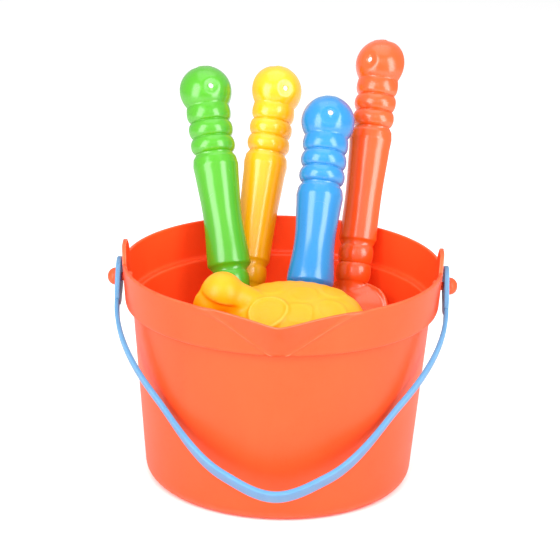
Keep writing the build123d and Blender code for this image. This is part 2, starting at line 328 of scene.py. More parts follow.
rim_index = int(np.argmax(section[:, 1]))
rings = [bucket_ring(max(r, 0.01), z, i <= rim_index) for i, (r, z) in enumerate(section)]
bucket_mesh = mesh_from_rows("bucket_shell", rings, cap_ends=True)
bucket = new_object("bucket_shell", bucket_mesh)
print("bucket faces", len(bucket_mesh.polygons))

# %% [markdown]
# ## Ears
# Each ear is a tab with a round top that simply carries the collar's wall on upwards, so it
# keeps the wall's curve and slope. It is built as a stack of bent strips with rounded ends,
# a trick the tools use again below. The tabs are joined to the wall's mesh, because they are
# the same moulding.

# %% Ears
PIN_HEIGHT = 124.3
EAR_THICKNESS = 2.5
EAR_HALF_WIDTH = 13.0
EAR_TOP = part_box("bucket")[1].z / MM - 0.6
EAR_FOOT = 113.0
EAR_SPLAY = 0.03
LIP_POINTS = 7


def sheet_loop(middle, thickness):
    """A closed loop round a middle line: its front, one lip, its back and the other lip."""
    along = np.gradient(middle, axis=0)
    along /= np.maximum(np.linalg.norm(along, axis=1), 1e-9)[:, None]
    across = np.stack([along[:, 1], -along[:, 0]], axis=1)
    half = thickness / 2
    front, back = middle + across * half, middle - across * half
    loop = list(front)
    for centre, forward, side, order in ((middle[-1], along[-1], across[-1], 1),
                                         (middle[0], -along[0], -across[0], -1)):
        for a in np.linspace(0, math.pi, LIP_POINTS + 2)[1:-1]:
            c, s = math.cos(a), math.sin(a)
            c, s = math.copysign(abs(c) ** 0.5, c), s ** 0.5
            loop.append(centre + side * half * c + forward * half * s)
        if order == 1:
            loop += list(back[::-1])
    return np.array(loop)


def ear_mesh(side):
    """A tab that carries the collar's wall upwards, built from its foot to its round top."""
    round_centre = EAR_TOP - EAR_HALF_WIDTH
    low = list(np.linspace(EAR_FOOT, round_centre, 10))
    heights = low + list(round_centre + EAR_HALF_WIDTH * np.sin(np.linspace(0.08, 1.5, 22)))
    slope = (RIM_RADIUS - COLLAR_RADIUS) / (BUCKET_HEIGHT - SHOULDER_HEIGHT)
    rows = []
    for height in heights:
        outside = COLLAR_RADIUS + 0.12 + slope * (min(height, BUCKET_HEIGHT) - SHOULDER_HEIGHT)
        outside += EAR_SPLAY * max(0.0, height - BUCKET_HEIGHT)
        reach = max(0.0, height - round_centre)
        half = math.sqrt(max(EAR_HALF_WIDTH ** 2 - reach ** 2, 0.4))
        thickness = min(EAR_THICKNESS, half)
        radius = outside - thickness / 2 - max(0.0, reach - 11) * 0.25
        spread = max(half - thickness / 2, 0.2) / radius
        a = np.linspace(-spread, spread, 25)
        line = np.stack([radius * np.cos(a), radius * np.sin(a)], axis=1)
        loop = sheet_loop(line, thickness)
        row = np.stack([side * loop[:, 0], side * loop[:, 1], np.full(len(loop), height)], axis=1)
        rows.append(row * MM)
    return mesh_from_rows("ear", rows, cap_ends=True)


def join(target, meshes):
    """Add other meshes to an object's own mesh, as parts of the same moulding."""
    work = bmesh.new()
    work.from_mesh(target.data)
    for mesh in meshes:
        work.from_mesh(mesh)
    work.to_mesh(target.data)
    work.free()
    target.data.shade_smooth()


join(bucket, [ear_mesh(-1), ear_mesh(1)])
print("ear top mm", round(EAR_TOP, 1))

# %% [markdown]
# ## Snap pins
# A pin is a round head on a short shank with a tapered barb behind the wall. It is lathed from
# its half section. The head's edge is rolled and there is a small gate mark in its middle, as
# moulded pins have.

# %% Pins
PIN_RADIUS = 2.6
PIN_HEAD_RADIUS = 5.3
PIN_HEAD_FACE = 101.6
PIN_SEAT = 94.0
PIN_BARB = 3.8
PIN_BARB_LENGTH = 2.2
PIN_HEAD_EDGE = 0.5
GATE_DEPTH = 0.38


def lathe(name, line, place, segments=48):
    """Turn a half section of (radius, height) about Z, then move it to its place."""
    turn = np.linspace(0, 2 * np.pi, segments, endpoint=False)
    rows = []
    for radius, height in line:
        ring = np.stack([radius * np.cos(turn), radius * np.sin(turn), np.full_like(turn, height)], axis=1)
        rows.append(ring * MM)
    mesh = mesh_from_rows(name, rows, cap_ends=True)
    mesh.transform(place)
    return mesh


def pin_section():
    """Half section of a pin: barb, shank, rolled head and the small gate mark on top."""
    head = PIN_HEAD_FACE
    crown = PIN_HEAD_RADIUS - PIN_HEAD_EDGE
    dome = [(PIN_HEAD_RADIUS * math.cos(a), head + PIN_HEAD_EDGE + crown * math.sin(a))
            for a in np.radians(np.linspace(0, 76, 12))]
    tip = PIN_SEAT - PIN_BARB_LENGTH
    shank = rounded([
        (0.01, tip, 0), (PIN_RADIUS, tip, 0.6), (PIN_BARB, PIN_SEAT, 0.3),
        (PIN_RADIUS, PIN_SEAT, 0.2), (PIN_RADIUS, head, 0.3), (PIN_HEAD_RADIUS, head, 0.35),
        (PIN_HEAD_RADIUS, head + PIN_HEAD_EDGE, 0),
    ], steps=3)
    top = head + PIN_HEAD_RADIUS
    gate = [(0.9, top - 0.12), (0.7, top - 0.35), (0.01, top - GATE_DEPTH)]
    return [tuple(p) for p in shank] + dome[1:] + gate


pins = {}
for side, node in ((-1, "left_pin"), (1, "right_pin")):
    place = Matrix.Translation((0, 0, PIN_HEIGHT * MM)) @ Matrix.Rotation(side * math.pi / 2, 4, "Y")
    pins[node] = new_object(node + "_moulded", lathe(node, pin_section(), place))
print("pins", list(pins))

# %% [markdown]
# ## Bail
# The bail is a thin strap bent like a bracelet: its broad face looks outwards, it is narrow at
# the legs and wider where the hand holds it. It is swept along its half outline and mirrored,
# with a section whose corners are rolled. Each end is a thicker pad with a bore for the pin, so
# the pads are separate prisms joined to the strap.

# %% Bail strap
BAIL_LEAN = math.radians(45.0)
BAIL_REACH = 143.0
BAIL_THICKNESS = 2.8
BAIL_BACK = -4.0
BAIL_LEG_FRONT = 4.0
BAIL_GRIP_FRONT = 9.0
BAIL_LEG_X = 101.3
BAIL_WIDENS_FROM = 88
BAIL_WIDENS_TO = 124
BAIL_EDGE_ROLL = 0.9
BAIL_CURVE = [(BAIL_LEG_X, 6.0), (BAIL_LEG_X, 18.0), (74.5, 80.0), (31.0, 130.5), (0.0, BAIL_REACH)]
BAIL_DIRECTIONS = [(0, 1), (0, 1), (-0.62, 0.80), (-0.86, 0.5), (-1, 0)]
BAIL_DOWN = Vector((0, -math.sin(BAIL_LEAN), -math.cos(BAIL_LEAN)))
BAIL_FRONT = Vector((0, -math.cos(BAIL_LEAN), math.sin(BAIL_LEAN)))


def hermite(points, tangents, steps):
    """A smooth line through a few points with the given directions."""
    line = []
    for i in range(len(points) - 1):
        a, b = np.array(points[i], float), np.array(points[i + 1], float)
        length = np.linalg.norm(b - a)
        ta, tb = np.array(tangents[i], float), np.array(tangents[i + 1], float)
        ta, tb = ta / np.linalg.norm(ta) * length, tb / np.linalg.norm(tb) * length
        for t in np.linspace(0, 1, steps, endpoint=False):
            line.append((2 * t ** 3 - 3 * t ** 2 + 1) * a + (t ** 3 - 2 * t ** 2 + t) * ta
                        + (3 * t ** 2 - 2 * t ** 3) * b + (t ** 3 - t ** 2) * tb)
    line.append(np.array(points[-1], float))
    return np.array(line)


def strap_section(back, front, thickness):
    """The strap's rounded section as (outwards, forwards) points, 0 on its outer face."""
    roll = BAIL_EDGE_ROLL
    corners = [(0, back + roll, 0), (0, front, roll), (-thickness, front, roll),
               (-thickness, back, roll), (0, back, roll), (0, back + roll * 1.01, 0)]
    return rounded(corners, steps=4)[:-1]


half_line = hermite(BAIL_CURVE, BAIL_DIRECTIONS, 18)
whole_line = np.concatenate([half_line, (half_line * [-1, 1])[::-1][1:]])
strap_rows = []
for i, (x, drop) in enumerate(whole_line):
    ahead = whole_line[min(i + 1, len(whole_line) - 1)]
    behind = whole_line[max(i - 1, 0)]
    along = (ahead - behind) / np.linalg.norm(ahead - behind)
    outwards = np.array([along[1], -along[0]])
    widening = float(smooth_step(drop, BAIL_WIDENS_FROM, BAIL_WIDENS_TO))
    front = BAIL_LEG_FRONT + (BAIL_GRIP_FRONT - BAIL_LEG_FRONT) * widening
    row = []
    for out, forward in strap_section(BAIL_BACK, front, BAIL_THICKNESS):
        px, pd = np.array([x, drop]) + outwards * out
        row.append(Vector((px, 0, PIN_HEIGHT)) + BAIL_DOWN * pd + BAIL_FRONT * forward)
    strap_rows.append(np.array(row) * MM)
bail = new_object("bail_strap", mesh_from_rows("bail_strap", strap_rows, cap_ends=True))
print("strap rows", len(strap_rows))

# %% Bail eyes
EYE_RADIUS = 12.4
EYE_LONGER = 5.0
EYE_THICKNESS = 3.2
EYE_BORE = 2.75
EYE_EDGE_ROLL = 0.9
EYE_RECESS = 0.25
EYE_RECESS_WIDTH = 2.2


def eye_outline():
    """A round pad drawn out towards the strap, in (along the strap, across it)."""
    far = EYE_RADIUS + EYE_LONGER
    tail = rounded([(2.0, EYE_RADIUS, 0), (far - 4, EYE_RADIUS - 2.4, 6.0), (far, 5.0, 3.0),
                    (far, -5.0, 3.0), (far - 4, 2.4 - EYE_RADIUS, 6.0), (2.0, -EYE_RADIUS, 0)], steps=5)
    cap = arc((0, 0), EYE_RADIUS, -97, -263, 30)
    return [tuple(p) for p in tail] + cap


def bored_pad(name, outline, origin, across, up, depth, bore, bevel):
    """A prism with a round hole, made as rings: bore, face, outline, and back again."""
    across, up = Vector(across), Vector(up)
    out = across.cross(up)
    outline = np.array(outline)
    angles = np.arctan2(outline[:, 1], outline[:, 0])
    circle = np.stack([np.cos(angles), np.sin(angles)], axis=1)
    inwards = -outline / np.linalg.norm(outline, axis=1)[:, None]
    roll = [math.radians(a) for a in (0, 22.5, 45, 67.5, 90)]
    lip = EYE_RECESS
    loops = [(circle * bore, lip), (circle * (bore + lip), 0)]
    loops += [(outline + inwards * bevel * (1 - math.sin(a)), bevel * (1 - math.cos(a)))
              for a in roll]
    loops += [(outline + inwards * bevel * (1 - math.cos(a)), depth - bevel * (1 - math.sin(a)))
              for a in roll]
    loops += [(circle * (bore + EYE_RECESS_WIDTH + 0.2), depth),
              (circle * (bore + EYE_RECESS_WIDTH), depth - lip),
              (circle * (bore + lip), depth - lip), (circle * bore, depth - 2 * lip),
              (circle * bore, lip)]
    rows = []
    for points, level in loops:
        base = Vector(origin) + out * level
        rows.append(np.array([base + across * x + up * y for x, y in points]) * MM)
    return mesh_from_rows(name, rows)


pads = []
for side in (-1, 1):
    origin = (side * (BAIL_LEG_X - EYE_THICKNESS), 0, PIN_HEIGHT)
    pads.append(bored_pad("eye", eye_outline(), origin, BAIL_DOWN, -side * BAIL_FRONT,
                          EYE_THICKNESS, EYE_BORE, EYE_EDGE_ROLL))
join(bail, pads)
print("eye thickness mm", EYE_THICKNESS)

# %% [markdown]
# ## Sand tools
# All four tools share one handle: a ball with a flat dished face and a hole for hanging it up,
# a stack of beads, a long waisted grip and a neck. They are open behind, so every cross-section
# is a thin bent sheet. Each section is therefore drawn as a middle line that is thickened on
# both sides with rounded lips, and the sections are stacked down the handle and on into the
# blade. This gives walls and rims of an even thickness everywhere, including in the beads.

# %% Tool sizes
TOOL_WALL = 2.2
BALL = 17.0
BALL_FOOT = 13.7
NECK = 12.4
BEAD = 14.5
BEAD_PITCH = 10.4
GRIP_FOOT = 11.9
GRIP_TOP = 14.8
LOWER_BEAD = 12.1
LOWER_NECK = 10.8
LOWER_PITCH = 11.7
NECK_RUN = 3.0
DISH_RADIUS = 8.6
DISH_DEPTH = 0.9
HANG_HOLE = 1.7
TINES = 5
TINE_GAP = 5.0
TINE_LENGTH = 46.0
SHOULDER_SQUARENESS = 3.3
SLOT_REACH = 9.0
SLOT_BEHIND = 15
SLOT_DEPTH = 40
POINT_LENGTH = 62.0
SQUARE_CORNER = 11.0
TINE_CORNER = 3.0

TOOLS = {
    "green_shovel": dict(
        at_rim=(-38.6, 60), lean=28, tilt=-10.9, ball=215.9, turn=21, hole_rise=0.0,
        grip_end=115, end=14.0, waist=12.6, lower=1, half=25, depth=9, length=234, tip="round"),
    "yellow_rake": dict(
        at_rim=(-19, 85), lean=27, tilt=7.4, ball=212.3, turn=22, hole_rise=0.0,
        grip_end=112.5, end=12.6, waist=12.7, lower=1, half=25, depth=8, length=228, tip="tines"),
    "blue_trowel": dict(
        at_rim=(19, 42), lean=31, tilt=5.3, ball=203.6, turn=2, hole_rise=2.0,
        grip_end=106, end=14.7, waist=12.9, lower=0, half=24, depth=9, length=211, tip="point"),
    "red_scoop": dict(
        at_rim=(48.4, 75), lean=25, tilt=6.4, ball=232.4, turn=-35, hole_rise=0.5,
        grip_end=115.5, end=12.8, waist=12.6, lower=2, half=29, depth=14, length=242, tip="square"),
}


def bead_profile(top, pitch, necks, crest, steps=12):
    """Outline of stacked round beads as (distance below the ball, radius).

    necks are the radii of the creases: above the first bead, between beads and below the last.
    """
    line = []
    for bead, (upper, lower) in enumerate(zip(necks, necks[1:])):
        for share in (1 - np.cos(np.linspace(0, math.pi, steps))) / 2:
            swell = (1 - (2 * share - 1) ** 2) ** 0.7
            base = upper + (lower - upper) * share
            line.append((top + (bead + share) * pitch, base + (crest - base) * swell))
    return line


def handle_profile(tool):
    """The handle's outline from the top of its ball to its foot."""
    ball_foot = math.sqrt(BALL ** 2 - BALL_FOOT ** 2)
    top_angle = math.acos(ball_foot / BALL)
    line = [(-BALL * math.cos(a), BALL * math.sin(a))
            for a in np.linspace(0, math.pi - top_angle, 34)]
    line += bead_profile(ball_foot, BEAD_PITCH, (BALL_FOOT, NECK, NECK, GRIP_FOOT), BEAD)[1:]
    bead_foot = ball_foot + 3 * BEAD_PITCH
    end = tool["grip_end"]
    grip = rounded([
        (bead_foot, GRIP_FOOT, 0), (bead_foot + 3.0, GRIP_TOP - 0.8, 2.5),
        (bead_foot + 8.0, GRIP_TOP, 7.0), (bead_foot + 15.0, GRIP_TOP - 0.7, 0),
    ], steps=5)
    line += [tuple(p) for p in grip[1:]]
    start, radius_there = line[-1]
    low = end - 5.0
    for share in np.linspace(0, 1, 26)[1:]:
        t = start + (low - start) * share
        straight = radius_there + (tool["end"] - radius_there) * share ** 1.6
        waist = (radius_there + tool["end"]) / 2 - tool["waist"]
        line.append((t, straight - waist * math.sin(math.pi * share) ** 1.3))
    foot = rounded([
        (low, tool["end"], 0), (end - 1.0, tool["end"] + 0.2, 3.0),
        (end + NECK_RUN, LOWER_NECK, 0),
    ], steps=6)
    line += [tuple(p) for p in foot[1:]]
    necks = (LOWER_NECK,) * (tool["lower"] + 1)
    line += bead_profile(end + NECK_RUN, LOWER_PITCH, necks, LOWER_BEAD)[1:]
    return line


print("profile points", len(handle_profile(TOOLS["red_scoop"])))

# %% Sections of bent sheet
SECTION_POINTS = 41


def resample(line, count):
    steps = np.linalg.norm(np.diff(line, axis=0), axis=1)
    reach = np.concatenate([[0], np.cumsum(steps)])
    spots = np.linspace(0, reach[-1], count)
    return np.stack([np.interp(spots, reach, line[:, k]) for k in (0, 1)], axis=1)


def handle_row(radius, inner):
    """Section of the open-backed handle: a half ring between two radii."""
    thickness = radius - inner
    middle_radius = radius - thickness / 2
    lift = min(thickness / 2, middle_radius * 0.98)
    start = math.asin(lift / middle_radius)
    a = np.linspace(math.pi + start, 2 * math.pi - start, SECTION_POINTS)
    return sheet_loop(np.stack([middle_radius * np.cos(a), middle_radius * np.sin(a)], axis=1), thickness)


def soft_max(a, b, soft):
    return (a + b + np.sqrt((a - b) ** 2 + soft ** 2)) / 2


def blade_half_width(tool, t, foot):
    """Half the blade's width at a distance below the ball."""
    half, end = tool["half"], tool["length"]
    above = max(0.0, foot + half - t)
    width = half * max(1 - (above / half) ** SHOULDER_SQUARENESS, 0.0) ** (1 / SHOULDER_SQUARENESS)
    if tool["tip"] == "round":
        below = max(0.0, t - (end - half))
        width = min(width, math.sqrt(max(half ** 2 - below ** 2, 0.0)))
    elif tool["tip"] == "point":
        left = (end - t) / POINT_LENGTH
        width = min(width, half * min(1.0, left) ** 0.8) if left > 0 else 0.0
    else:
        corner = SQUARE_CORNER if tool["tip"] == "square" else TINE_CORNER
        below = max(0.0, t - (end - corner))
        width = min(width, half - corner + math.sqrt(max(corner ** 2 - below ** 2, 0.0)))
    return width


def blade_row(tool, t, foot):
    """Section of the blade, with the neck's rib fading into it."""
    half, depth, wall = tool["half"], tool["depth"], TOOL_WALL
    curve = (half ** 2 + depth ** 2) / (2 * depth)
    above = max(0.0, foot + half - t)
    rib = LOWER_NECK * max(0.0, 1 - (t - foot) / (1.3 * half)) ** 0.8 - wall / 2
    width = blade_half_width(tool, t, foot) - wall / 2
    width = max(float(soft_max(width, max(rib, 0.0), 1.0)), 0.3)
    a = np.linspace(0, math.pi, 161)
    x = -width * np.cos(a)
    round_over = (half * (above / half) ** (SHOULDER_SQUARENESS / 2)) ** 2
    dome = np.sqrt(np.maximum((curve - wall / 2) ** 2 - x ** 2 - round_over, 0)) - (curve - depth)
    ridge = np.sqrt(np.maximum(max(rib, 0.0) ** 2 - x ** 2, 0))
    height = soft_max(np.maximum(dome, 0), ridge, 1.2) if rib > 0.5 else np.maximum(dome, 0)
    height = soft_max(height, wall / 2, 0.6)
    return sheet_loop(resample(np.stack([x, -height], axis=1), SECTION_POINTS), wall)


def tool_rows(tool):
    profile = handle_profile(tool)
    rows = []
    for t, radius in profile:
        inner = radius - TOOL_WALL
        if t < 0:
            inner = math.sqrt(max((BALL - TOOL_WALL) ** 2 - t ** 2, 0.0))
        inner = min(max(inner, 0.02), max(radius - 0.01, 0.02))
        rows.append((t, handle_row(max(radius, 0.04), inner)))
    foot = profile[-1][0]
    ends = list(np.arange(foot + 1.2, tool["length"] - 12, 2.5))
    ends += list(tool["length"] - 12 * (1 - np.sin(np.linspace(0, math.pi / 2, 16))))
    for t in ends:
        rows.append((t, blade_row(tool, t, foot)))
    return rows


def tool_matrix(tool):
    """The tool's own frame: origin at its ball, its axis as Z and its face towards -Y."""
    up = Vector((math.tan(math.radians(tool["tilt"])), math.tan(math.radians(tool["lean"])), 1))
    ball = Vector((*tool["at_rim"], BUCKET_HEIGHT)) + up * (tool["ball"] - BUCKET_HEIGHT)
    axis = up.normalized()
    across = Vector((1, 0, -up.x)).normalized()
    depth = axis.cross(across)
    spin = Matrix((across, depth, axis)).transposed().to_4x4()
    return Matrix.Translation(ball * MM) @ spin @ Matrix.Rotation(math.radians(tool["turn"]), 4, "Z")


def dish_ball(points, rise):
    """Flatten and slightly hollow the front of the ball round its hanging hole."""
    x, y, z = points.T / MM
    reach = np.hypot(x, z - rise)
    floor_there = -(BALL - DISH_DEPTH) + 0.35 * (1 - (reach / DISH_RADIUS) ** 2)
    sunk = np.where((reach < DISH_RADIUS) & (y < 0), np.maximum(y, floor_there), y)
    return np.stack([x, sunk, z], axis=1) * MM


print("sections ready")

# %% Cutting holes and slots
def settle(piece):
    """Run a piece's modifiers and keep the result as its mesh."""
    graph = bpy.context.evaluated_depsgraph_get()
    result = bpy.data.meshes.new_from_object(piece.evaluated_get(graph))
    piece.modifiers.clear()
    piece.data = result


def cut(target, cutters):
    """Cut bores and slots out of a piece and keep the clean result as its mesh."""
    for mesh in cutters:
        tool = new_object("cutter", mesh)
        step = target.modifiers.new("cut", "BOOLEAN")
        step.operation = "DIFFERENCE"
        step.solver = "EXACT"
        step.object = tool
        settle(target)
        bpy.data.objects.remove(tool)
    target.data.shade_smooth()


def hang_hole(rise):
    line = [(0.01, -30.0), (HANG_HOLE, -30.0), (HANG_HOLE, 30.0), (0.01, 30.0)]
    place = Matrix.Translation((0, 0, rise * MM)) @ Matrix.Rotation(math.pi / 2, 4, "X")
    return lathe("hole", line, place, segments=40)


def tine_slots(tool):
    """The gaps between the rake's tines, each with a round upper end."""
    slots = []
    pitch = 2 * tool["half"] / TINES
    bottom = -tool["length"] - SLOT_REACH
    for i in range(1, TINES):
        middle = i * pitch - tool["half"]
        top = -tool["length"] + TINE_LENGTH
        half = TINE_GAP / 2
        outline = [(middle - half, bottom), (middle + half, bottom),
                   *arc((middle, top), half, 0, 180, 11)]
        slots.append(prism("slot", outline, (0, SLOT_BEHIND, 0), (1, 0, 0), (0, 0, 1), SLOT_DEPTH))
    return slots


print("cutters ready")

# %% Build the four tools
tools = {}
for node, tool in TOOLS.items():
    stacked = []
    for t, loop in tool_rows(tool):
        row = np.stack([loop[:, 0], loop[:, 1], np.full(len(loop), -t)], axis=1) * MM
        stacked.append(dish_ball(row, tool["hole_rise"]) if t < DISH_RADIUS else row)
    mesh = mesh_from_rows(node + "_moulded", stacked, cap_ends=True)
    piece = new_object(node + "_moulded", mesh)
    cutters = [hang_hole(tool["hole_rise"])] + (tine_slots(tool) if tool["tip"] == "tines" else [])
    cut(piece, cutters)
    piece.data.transform(tool_matrix(tool))
    tools[node] = piece
    print(node, "faces", len(piece.data.polygons))

# %% [markdown]
# ## Turtle mould
# The mould is a soft, freely shaped shell, which a sculptor would model in clay. Its body, neck
# and head are drawn as separate round masses, fused by a fine remesh and smoothed, as clay is
# with a thumb. The scutes, the eye, the brow and the cheek are then pressed in by moving
# vertices, the underside is cut away and the rest is given its wall. It is shaped upright and
# then tipped towards the spout, the way it lies in the bucket.

# %% Turtle masses
MOULD_WALL = 1.8
MOULD_CENTRE = np.array([8.0, -45.0])
MOULD_FLOOR = 88.0
MOULD_HEIGHT = 45.0
MOULD_HALF_LENGTH = 44.0
MOULD_HALF_WIDTH = 32.0
MOULD_TIP = math.radians(14.0)
MOULD_PIVOT = Vector((8.0, -45.0, 110.0)) * MM
CLAY = 1.1


def dome_mesh():
    """The turtle's back: an oval dome, steep at its sides and nearly flat on top."""
    turn = np.linspace(0, 2 * np.pi, 96, endpoint=False)
    rows = []
    for reach in np.sin(np.linspace(0.01, math.pi / 2, 40)) ** 0.9:
        height = MOULD_HEIGHT * max(1e-9, 1 - reach ** 2.2) ** 0.15
        x = MOULD_CENTRE[0] + MOULD_HALF_LENGTH * reach * np.cos(turn)
        y = MOULD_CENTRE[1] + MOULD_HALF_WIDTH * reach * np.sin(turn)
        rows.append(np.stack([x, y, np.full_like(x, MOULD_FLOOR + height)], axis=1) * MM)
    bottom = rows[-1].copy()
    bottom[:, 2] = (MOULD_FLOOR - 6) * MM
    return mesh_from_rows("dome", rows + [bottom], cap_ends=True)


def ball_mesh(centre, half_axes, steps=40):
    turn = np.linspace(0, 2 * np.pi, steps * 2, endpoint=False)
    rows = []
    for a in np.linspace(0.02, math.pi - 0.02, steps):
        ring = np.stack([np.sin(a) * np.cos(turn), np.sin(a) * np.sin(turn),
                         np.full_like(turn, np.cos(a))], axis=1)
        rows.append((ring * half_axes + centre) * MM)
    return mesh_from_rows("ball", rows, cap_ends=True)


masses = [dome_mesh()]
NECK_STATIONS = 7
head_centre = np.array([-36.0, -43.5, 131.0])
neck_root = np.array([-12.0, -44.0, 117.0])
for share in np.linspace(0, 1, NECK_STATIONS):
    centre = neck_root + (head_centre - neck_root) * share
    masses.append(ball_mesh(centre, np.array([13.5, 12.0, 15.0]) * (1 - 0.1 * share), 24))
masses.append(ball_mesh(head_centre + [1.5, 0.0, 0.5], np.array([13.2, 13.0, 14.2])))
masses.append(ball_mesh(head_centre + [-4.5, -2.0, -7.0], np.array([11.5, 11.0, 13.0])))
turtle = new_object("turtle_moulded", bpy.data.meshes.new("turtle_moulded"))
join(turtle, masses)
print("masses", len(masses))

# %% Fuse and smooth
fuse = turtle.modifiers.new("fuse", "REMESH")
fuse.mode = "VOXEL"
fuse.voxel_size = CLAY * MM
soften = turtle.modifiers.new("soften", "SMOOTH")
soften.factor = 0.6
soften.iterations = 10
settle(turtle)
print("fused faces", len(turtle.data.polygons))

# %% Press in the relief
# Each scute: where its middle is, its radius, how far it rises and how square its outline is.
SCUTES = [(-7.0, -58.5, 12.3, 1.8, 2.0), (11.5, -60.0, 8.0, 0.7, 5.0), (30.0, -55.0, 9.5, 0.5, 2.4),
          (13.0, -41.5, 9.0, 0.4, 2.4), (-6.0, -34.0, 8.5, 0.4, 2.4), (31.0, -34.0, 8.5, 0.4, 2.4)]
HEAD_SPOT = (-36.0, -44.0)
BACK_BELOW = 118.0
HEM_BELOW = 112.0
HEM_RISE = 0.15
HEM_WAVES = 22
EYE_SPOT = (-44.5, -53.0, 140.0)
BROW_HEIGHT = 136.5
BROW_SLOPE = 0.25
CHEEK_DEPTH = 1.5


def relief(points, normals):
    """How far each point of the turtle moves outwards, in millimetres."""
    x, y, z = points.T / MM
    move = np.zeros(len(points))
    from_head = np.hypot(x - HEAD_SPOT[0], y - HEAD_SPOT[1])
    on_top = smooth_step(normals[:, 2], 0.45, 0.8) * (z > BACK_BELOW) * (from_head > 16)
    for cx, cy, radius, rise, squareness in SCUTES:
        reach = (abs(x - cx) ** squareness + abs(y - cy) ** squareness) ** (1 / squareness)
        plate = smooth_step(reach, radius + 0.4, radius - 1.4)
        dish = smooth_step(reach, radius - 1.4, radius - 3.6)
        move += on_top * rise * (plate - 0.6 * dish)
    from_x, from_y = x - MOULD_CENTRE[0], y - MOULD_CENTRE[1]
    spread = np.hypot(from_x / MOULD_HALF_LENGTH, from_y / MOULD_HALF_WIDTH)
    turn = np.arctan2(from_y, from_x)
    hem = smooth_step(spread, 0.66, 0.76) * smooth_step(spread, 0.98, 0.86) * (z > HEM_BELOW)
    move += hem * (from_head > 22) * HEM_RISE * (1 + np.cos(HEM_WAVES * turn))
    eye = np.linalg.norm(np.stack([x, y, z], axis=1) - EYE_SPOT, axis=1)
    move += 0.45 * smooth_step(eye, 1.8, 0.9) - 0.35 * smooth_step(abs(eye - 2.3), 0.8, 0.2)
    brow = BROW_HEIGHT - BROW_SLOPE * (x + 50)
    cheek = smooth_step(z, brow + 0.9, brow - 0.9) * smooth_step(y, -45.0, -50.0) * smooth_step(x, -22, -29)
    move -= CHEEK_DEPTH * cheek * smooth_step(z, 114, 124)
    return move


mesh = turtle.data
count = len(mesh.vertices)
points = np.empty(count * 3)
mesh.vertices.foreach_get("co", points)
points = points.reshape(-1, 3)
normals = np.array([v.normal[:] for v in mesh.vertices])
points = points + normals * relief(points, normals)[:, None] * MM
mesh.vertices.foreach_set("co", points.ravel())
mesh.update()

work = bmesh.new()
work.from_mesh(mesh)
bmesh.ops.bisect_plane(work, geom=[*work.verts, *work.edges, *work.faces],
                       plane_co=(0, 0, MOULD_FLOOR * MM), plane_no=(0, 0, -1), clear_outer=True)
work.to_mesh(mesh)
work.free()
wall = turtle.modifiers.new("wall", "SOLIDIFY")
wall.thickness = MOULD_WALL * MM
wall.offset = -1
soften = turtle.modifiers.new("soften", "SMOOTH")
soften.factor = 0.35
soften.iterations = 1
settle(turtle)
tip_over = Matrix.Rotation(MOULD_TIP, 4, "X")
turtle.data.transform(Matrix.Translation(MOULD_PIVOT) @ tip_over @ Matrix.Translation(-MOULD_PIVOT))
turtle.data.shade_smooth()
print("turtle faces", len(turtle.data.polygons))

# %% [markdown]
# ## Shared surface effects
# All the plastic here is moulded from the same kind of coloured, glossy stock, so the effects
# are built once as node groups: slow flow marks and a slight change of shade, a fine grain with
# faint rubbed scratches, paler edges that are partly scuffing and partly a painted highlight
# along rims and creases, and a trace of dry sand dust in upward-facing places.
# Each group only makes a colour, a mask or a normal, so the shader itself stays in the material.

# %% Node group helpers
def new_group(name, inputs, outputs):
    """A shader node group with named sockets. Each is (name, type, default)."""
    group = bpy.data.node_groups.new(name, "ShaderNodeTree")
    for way, sockets in (("INPUT", inputs), ("OUTPUT", outputs)):
        for label, kind, default in sockets:
            socket = group.interface.new_socket(label, in_out=way, socket_type="NodeSocket" + kind)
            if default is not None:
                socket.default_value = default
    return group, group.nodes.new("NodeGroupInput"), group.nodes.new("NodeGroupOutput")


def add(tree, kind, links=None, **settings):
    """Add a node, set its sockets and join links given as {input: (node, output)}."""
    node = tree.nodes.new(kind)
    for key, value in settings.items():
        if key in node.inputs:
            node.inputs[key].default_value = value
        else:
            setattr(node, key, value)
    for key, (source, output) in (links or {}).items():
        tree.links.new(source.outputs[output], node.inputs[key])
    return node


def ramp(tree, source, output, low, high):
    """Map a value so that low gives 0 and high gives 1, clamped."""
    return add(tree, "ShaderNodeMapRange", {"Value": (source, output)},
               **{"From Min": low, "From Max": high, "clamp": True})


def noise(tree, source, output, scale, detail, **settings):
    return add(tree, "ShaderNodeTexNoise", {"Vector": (source, output)},
               Scale=scale, Detail=detail, **settings)


def combine(tree, operation, first, second):
    """A math node on two (node, output) pairs."""
    return add(tree, "ShaderNodeMath", {0: first, 1: second}, operation=operation)


def blend_colours(tree, given, base, over, factor, out):
    """Blend two of a group's colours by a (node, output) factor and put the colour out."""
    mix = add(tree, "ShaderNodeMix", {"Factor": factor}, data_type="RGBA")
    tree.links.new(given.outputs[base], mix.inputs[6])
    tree.links.new(given.outputs[over], mix.inputs[7])
    tree.links.new(mix.outputs[2], out.inputs["Color"])


print("node helpers ready")

